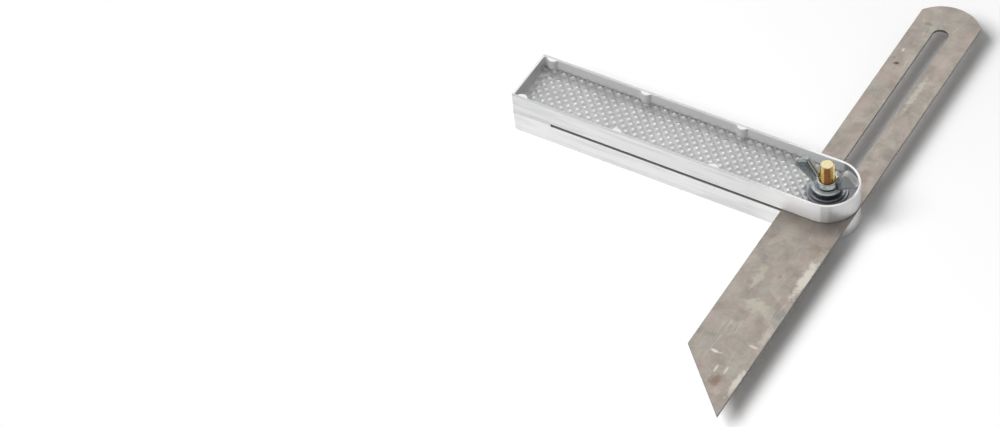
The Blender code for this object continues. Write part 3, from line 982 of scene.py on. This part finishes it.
CASTING_LOOK = {
    "patterns": {
        "patches": (BLOTCHES, {"Scale": 70.0, "Threshold": 0.42, "Softness": 0.22}),
        "skin": (GRAIN, {"Scale": 2600.0}),
        "lines": (GRAIN, {"Stretch": (0.04, 1.0, 1.0), "Scale": 3600.0}),
        "streaks": (GRAIN, {"Stretch": (0.05, 1.0, 1.0), "Scale": 420.0}),
        "scratched": (SCRATCHES, {"Turn": (0.0, 0.0, math.radians(70)), "Scale": 1100.0}),
        "waves": (SWELL, {"Scale": 160.0}),
        "breaks": (SWELL, {"Scale": 900.0, "Roughness": 0.6}),
        "worn": (WEAR, {"Radius": 0.0004}),
    },
    "masks": casting_masks,
    "plain": (0.76, 0.765, 0.77),
    "coats": [
        ("patches", 1.0, CASTING_DULL),
        ("ground", 0.9, (0.64, 0.64, 0.635)),
        ("streaked", 1.0, CASTING_DULL),
        # painted light on the ground side near the pivot
        ("lit_side_near_pivot", 0.85, (0.90, 0.895, 0.89)),
        ("as_cast", 0.9, (0.70, 0.70, 0.705)),
        ("dull_rim", 1.0, (0.56, 0.56, 0.555)),
        # painted highlight on the rim near the pivot
        ("highlit_rim_near_pivot", 0.85, (0.88, 0.88, 0.87)),
        ("inside", 1.0, (0.68, 0.68, 0.685)),
        ("on_floor", 1.0, (0.60, 0.60, 0.61)),
        ("pale_floor", 0.6, (0.74, 0.74, 0.75)),
        # painted shade with grime in the grooves
        ("groove_shade_and_grime", 1.0, TRAY_SHADE_AND_GRIME),
        # painted shade at the foot of the row by the far wall
        ("shaded_row_foot", 0.6, TRAY_SHADE_AND_GRIME),
        # worn tips, with painted highlights along the row by the far wall
        ("worn_and_highlit_tip", 1.0, (0.96, 0.96, 0.96)),
        ("scratched", 0.4, (0.52, 0.52, 0.52)),
        ("worn", 0.25, (0.90, 0.90, 0.89)),
        # painted shade in the slit
        ("shaded_slit", 1.0, SLIT_SHADE_AND_JOINT_DARK),
        # painted shade round the screw under the nut and at the tray's round end
        ("seat_and_round_end_shade", 0.85, (0.235, 0.24, 0.255)),
        ("joint", 0.45, SLIT_SHADE_AND_JOINT_DARK),
    ],
    "roughness": 0.18,
    "rougher": {
        "patches": 0.05, "skin": 0.1, "ground": 0.28, "as_cast": 0.22,
        "inside": 0.1, "on_floor": 0.22, "on_tip": -0.2,
    },
    "duller": {"dull_side": -0.85, "on_wall": -0.5, "as_cast": -0.35},
    "relief": [("waves", 0.00006, 0.5), ("skin", 0.00003, 0.5), ("lined", 0.00006, 0.8)],
}

# Dull ground steel with dark edges. Its stains: across, along, half width, half length, strength, colour
EDGE_LEAN_RANGE = (0.75, 0.35)
PALE = (0.56, 0.53, 0.47)
GREENISH = (0.40, 0.40, 0.325)
PINKISH = (0.385, 0.30, 0.28)
SHADED = (0.20, 0.195, 0.19)
BROWN = (0.20, 0.13, 0.09)
RUST = (0.10, 0.035, 0.03)
STAINS = [
    (-0.0098, 0.0857, 0.0012, 0.0012, 1.0, RUST),
    (-0.0122, 0.0887, 0.001, 0.001, 0.5, BROWN),
    (-0.0106, 0.0943, 0.0007, 0.0016, 0.7, PALE),
    (-0.0075, 0.114, 0.0028, 0.0012, 0.5, BROWN),
    (-0.002, -0.0956, 0.003, 0.0007, 0.9, PALE),
    (0.0045, -0.109, 0.0026, 0.003, 0.75, BROWN),
    (0.008, -0.1146, 0.002, 0.002, 0.7, PINKISH),
    (-0.008, -0.0413, 0.0016, 0.0024, 0.6, SHADED),
    (0.0026, -0.0484, 0.001, 0.001, 0.7, SHADED),
    (0.0118, -0.0665, 0.0026, 0.004, 0.6, SHADED),
    (0.0095, -0.0295, 0.0035, 0.004, 0.4, BROWN),
    (0.0125, -0.045, 0.0026, 0.012, 0.75, PALE),
    (0.0125, -0.080, 0.002, 0.006, 0.4, PALE),
    (0.0132, -0.1065, 0.0016, 0.008, 0.7, PALE),
    (-0.0052, -0.052, 0.0022, 0.0075, 0.55, GREENISH),
    (0.001, -0.0665, 0.0065, 0.004, 0.6, GREENISH),
    (0.0103, -0.0869, 0.0022, 0.0007, 0.6, PALE),
    (0.0022, -0.1035, 0.0006, 0.0022, 0.7, PALE),
    (0.0063, -0.1026, 0.0006, 0.0022, 0.7, PALE),
    (0.0077, 0.017, 0.003, 0.006, 0.4, BROWN),
    (0.0062, 0.072, 0.0015, 0.013, 0.35, PALE),
    (-0.0108, 0.054, 0.003, 0.009, 0.45, PINKISH),
    (0.0095, 0.09, 0.0032, 0.012, 0.45, PINKISH),
]


def blade_masks(tree, place, masks):
    """Scratches two ways, the edges, and the stains under their numbers."""
    masks["scratched"] = maths(tree, "MAXIMUM", masks["crossing"], masks["lengthwise"])
    lean = parts_of(tree, add(tree, "ShaderNodeNewGeometry")["Normal"])[2]
    masks["on_edge"] = between(tree, maths(tree, "ABSOLUTE", lean), *EDGE_LEAN_RANGE)
    for number, (across, along, half_width, half_length, _, _) in enumerate(STAINS):
        size = (half_width, half_length, BLADE_WIDTH)
        masks[number] = use(tree, STAIN, {"Vector": place, "Place": (across, along, 0.0), "Size": size})


STEEL_LOOK = {
    "patterns": {
        "lines": (GRAIN, {"Stretch": (1.0, 0.05, 1.0), "Scale": 2400.0}),
        "mottle": (BLOTCHES, {"Scale": 95.0, "Threshold": 0.40, "Softness": 0.25}),
        "warm": (BLOTCHES, {"Scale": 52.0, "Threshold": 0.46, "Softness": 0.14}),
        "cool": (BLOTCHES, {"Scale": 61.0, "Threshold": 0.50, "Softness": 0.14}),
        "crossing": (SCRATCHES, {"Turn": (0.0, 0.0, math.radians(24)), "Scale": 700.0}),
        "lengthwise": (SCRATCHES, {"Turn": (0.0, 0.0, math.radians(-6)), "Scale": 1000.0}),
    },
    "masks": blade_masks,
    "plain": (0.335, 0.303, 0.267),
    "coats": [
        ("mottle", 1.0, (0.22, 0.20, 0.175)),
        ("warm", 0.5, (0.33, 0.255, 0.23)),
        ("cool", 0.5, (0.275, 0.285, 0.25)),
        *[(number, strength, tone) for number, (*_, strength, tone) in enumerate(STAINS)],
        ("scratched", 0.45, PALE),
        ("on_edge", 1.0, (0.14, 0.135, 0.13)),
    ],
    "roughness": 0.27,
    "rougher": {"lines": 0.12, "mottle": 0.08, "scratched": -0.06},
    "metallic": 0.88,
    "relief": [("lines", 0.00002, 0.3)],
}

# Turned brass, tarnished brown in streaks along the stud
BROWN_STREAK_RANGE = (0.47, 0.56)
BROWN_PATCH_SHARE = 0.4


def brass_masks(tree, place, masks):
    streaked = between(tree, masks["streaks"], *BROWN_STREAK_RANGE)
    masks["brown"] = maths(tree, "MAXIMUM", streaked, product(tree, masks["patches"], BROWN_PATCH_SHARE))
    masks["at_end"] = between(tree, parts_of(tree, place)[2], STUD_TIP - STUD_CHAMFER, STUD_TIP)


BRASS_LOOK = {
    "patterns": {
        "streaks": (GRAIN, {"Stretch": (1.0, 1.0, 0.1), "Scale": 420.0}),
        "patches": (BLOTCHES, {"Scale": 260.0, "Threshold": 0.45, "Softness": 0.2}),
        "turning": (GRAIN, {"Stretch": (0.1, 0.1, 1.0), "Scale": 5000.0}),
    },
    "masks": brass_masks,
    "plain": (0.90, 0.70, 0.30),
    "coats": [("brown", 1.0, (0.42, 0.20, 0.06)), ("at_end", 0.8, (0.52, 0.49, 0.32))],
    "roughness": 0.04,
    "rougher": {"brown": 0.06, "turning": 0.05},
    "relief": [("turning", 0.00001, 0.2)],
}

# Plain turned steel, rubbed round by the nut, darkened and tinted bluish as painted shade under the nut's
# flange
SHADED_WASHER_LOOK = {
    "patterns": {
        "patches": (BLOTCHES, {"Scale": 300.0, "Threshold": 0.45, "Softness": 0.2}),
        "grain": (GRAIN, {"Scale": 3800.0}),
        "worn": (WEAR, {"Radius": 0.00025}),
    },
    # darkened and bluish: painted shade under the nut's flange
    "plain": (0.33, 0.345, 0.38),
    "coats": [("patches", 1.0, (0.22, 0.20, 0.23)), ("worn", 0.4, (0.45, 0.45, 0.45))],
    "roughness": 0.2,
    "rougher": {"patches": 0.12, "grain": 0.14},
    "relief": [("grain", 0.00001, 0.4)],
}

# Glossy dark plating over a cast skin, with painted shade on the upper wings, painted light on the wing out
# along +x, which is also duller, and rubbed pale on the edges
# Where the wing out along +x gets painted light
LIT_WING_START = 0.0055
LIT_WING_END = 0.008
LIT_WING_SHARE = 0.42


def plating_masks(tree, place, masks):
    outward, _, up = parts_of(tree, place)
    # painted shade on the wings above the hub
    masks["painted_lighting_band"] = between(tree, up, NUT_HEIGHT, WING_TIP.z)
    # painted light: the wing out along +x is made paler
    masks["lit_pale_wing"] = between(tree, outward, LIT_WING_START, LIT_WING_END)


PLATING_LOOK = {
    "patterns": {
        "patches": (BLOTCHES, {"Scale": 170.0, "Threshold": 0.43, "Softness": 0.22}),
        "skin": (GRAIN, {"Scale": 1500.0}),
        "waves": (SWELL, {"Scale": 420.0}),
        "worn": (WEAR, {"Radius": 0.0004}),
    },
    "masks": plating_masks,
    "plain": (0.47, 0.51, 0.515),
    "coats": [
        ("patches", 1.0, (0.33, 0.36, 0.365)),
        # painted shade on the upper wings
        ("painted_lighting_band", 0.8, (0.27, 0.29, 0.295)),
        # painted light on the wing out along +x
        ("lit_pale_wing", LIT_WING_SHARE, (0.54, 0.535, 0.52)),
        ("worn", 0.5, (0.70, 0.71, 0.70)),
    ],
    "roughness": 0.08,
    "rougher": {"patches": 0.08, "skin": 0.12},
    "duller": {"lit_pale_wing": -LIT_WING_SHARE},
    "relief": [("waves", 0.0001, 0.5), ("skin", 0.00002, 0.35)],
}

# Studio
SOFTBOX_PLACE = (-0.8, 0.95, 1.5)
SOFTBOX_SIZE = 2.0
SOFTBOX_POWER = 7.0
FLOOR_LAMP_PLACE = (-0.6, -0.9, 1.45)
FLOOR_LAMP_SIZE = 1.0
FLOOR_LAMP_POWER = 36.0
SKY_LIGHT = 0.28
SKY_MIRRORED = [(0.0, 0.98), (0.3, 0.9), (0.7, 0.84), (0.88, 0.96), (1.0, 1.15)]
NEW_STOP_PLACE = 0.5
SKY_BRIGHT_SIDE = (-0.75, 0.66, 0.0)
SKY_SIDE_SWING = 0.42
SKY_SIDE_MIDDLE = 0.81
FLOOR_SIZE = 6.0
FLOOR_DROP = 0.0002
FLOOR_COLOUR = (0.94, 0.94, 0.94)
FLOOR_ROUGHNESS = 0.8
SHADED_FLOOR_REACH = 0.15
WHITE_FLOOR_REACH = 0.24
WHITE = (1.0, 1.0, 1.0)


def level_axes(ahead):
    """The right and up directions of a level view."""
    right = ahead.cross(Vector((0, 0, 1))).normalized()
    return right, right.cross(ahead)


def build_camera():
    foot = PIVOT - Vector((0, 0, HALF_HEIGHT))
    level = math.cos(VIEW_ELEVATION)
    back = Vector((math.sin(VIEW_AZIMUTH) * level, -math.cos(VIEW_AZIMUTH) * level, math.sin(VIEW_ELEVATION)))
    right, up = level_axes(-back)
    place = back * VIEW_DISTANCE
    ahead = (right * AIM_RIGHT + up * AIM_UP - place).normalized()
    right, up = level_axes(ahead)
    rolled_right = right * math.cos(VIEW_ROLL) + up * math.sin(VIEW_ROLL)
    rolled_up = up * math.cos(VIEW_ROLL) - right * math.sin(VIEW_ROLL)
    lens = bpy.data.cameras.new("camera")
    lens.sensor_width = SENSOR_WIDTH_MM
    lens.lens = FOCAL_LENGTH_PX * SENSOR_WIDTH_MM / PICTURE_WIDTH_PX
    lens.clip_start = CLIP_NEAR
    lens.clip_end = CLIP_FAR
    turn = Matrix((rolled_right, rolled_up, -ahead)).transposed().to_4x4()
    camera = new_object("camera", lens)
    camera.matrix_world = Matrix.Translation(foot + place) @ turn
    bpy.context.scene.camera = camera


def softbox(name, place, size, power, mirrored):
    """A square lamp that is either seen in the metal or spreads light, each with its own size."""
    lamp = bpy.data.lights.new(name, "AREA")
    lamp.shape = "SQUARE"
    lamp.size = size
    lamp.energy = power
    made = new_object(name, lamp)
    made.location = PIVOT + Vector(place)
    made.rotation_euler = (-Vector(place)).to_track_quat("-Z", "Y").to_euler()
    made.visible_glossy = mirrored
    made.visible_diffuse = not mirrored


def build_lights():
    softbox("mirrored_softbox", SOFTBOX_PLACE, SOFTBOX_SIZE, SOFTBOX_POWER, True)
    softbox("floor_lamp", FLOOR_LAMP_PLACE, FLOOR_LAMP_SIZE, FLOOR_LAMP_POWER, False)


def choose(tree, share, first, second):
    return add(tree, "ShaderNodeMixShader", {0: share, 1: first, 2: second})[0]


def mirrored_rays(tree):
    """Whether the camera sees a place, and whether it is seen in a reflection or through something."""
    rays = add(tree, "ShaderNodeLightPath")
    return rays["Is Camera Ray"], maths(tree, "MAXIMUM", rays["Is Glossy Ray"], rays["Is Transmission Ray"])


def build_world():
    """Even light from all round, white behind the object, and a pale studio in its reflections."""
    world = bpy.data.worlds.new("studio")
    bpy.context.scene.world = world
    world.use_nodes = True
    tree = world.node_tree
    tree.nodes.clear()
    seen, mirrored = mirrored_rays(tree)
    direction = add(tree, "ShaderNodeTexCoord")["Generated"]
    ramp = add(tree, "ShaderNodeValToRGB", {"Fac": parts_of(tree, direction)[2]})
    stops = ramp["Color"].node.color_ramp.elements
    while len(stops) < len(SKY_MIRRORED):
        stops.new(NEW_STOP_PLACE)
    for stop, (place, value) in zip(stops, SKY_MIRRORED):
        stop.position = place
        stop.color = (value, value, value, 1)
    towards = {0: direction, 1: SKY_BRIGHT_SIDE}
    side = add(tree, "ShaderNodeVectorMath", towards, operation="DOT_PRODUCT")["Value"]
    dimmest, brightest = SKY_SIDE_MIDDLE - SKY_SIDE_SWING, SKY_SIDE_MIDDLE + SKY_SIDE_SWING
    gain = between(tree, side, -1.0, 1.0, dimmest, brightest)
    studio = add(tree, "ShaderNodeBackground", {"Color": ramp["Color"], "Strength": gain})[0]
    light = add(tree, "ShaderNodeBackground", {"Color": WHITE, "Strength": SKY_LIGHT})[0]
    white = add(tree, "ShaderNodeBackground", {"Color": WHITE, "Strength": 1.0})[0]
    chosen = choose(tree, seen, choose(tree, mirrored, light, studio), white)
    add(tree, "ShaderNodeOutputWorld", {"Surface": chosen})


def build_floor():
    """A pale floor that keeps the object's shadow, is plain white further out, and is clear from below."""
    half = FLOOR_SIZE / 2
    corners = [(-half, -half, 0), (half, -half, 0), (half, half, 0), (-half, half, 0)]
    floor = solid("floor", corners, [[0, 1, 2, 3]])
    floor.location.z = -FLOOR_DROP
    made, tree, shader, place = surface("pale_floor")
    shader.inputs["Base Color"].default_value = (*FLOOR_COLOUR, 1)
    shader.inputs["Roughness"].default_value = FLOOR_ROUGHNESS
    open_share = between(tree, length_of(tree, place), SHADED_FLOOR_REACH, WHITE_FLOOR_REACH)
    seen, mirrored = mirrored_rays(tree)
    share = product(tree, open_share, maths(tree, "MAXIMUM", seen, mirrored))
    white = add(tree, "ShaderNodeEmission", {"Color": WHITE, "Strength": 1.0})[0]
    clear = add(tree, "ShaderNodeBsdfTransparent")[0]
    from_below = add(tree, "ShaderNodeNewGeometry")["Backfacing"]
    chosen = choose(tree, from_below, choose(tree, share, shader.outputs[0], white), clear)
    tree.links.new(chosen, tree.nodes["Material Output"].inputs["Surface"])
    floor.data.materials.append(made)


build_camera()
build_lights()
build_world()
build_floor()
build_stock()
build_blade()
build_screw()
build_washer()
build_nut()
bpy.context.scene.view_settings.view_transform = "Standard"
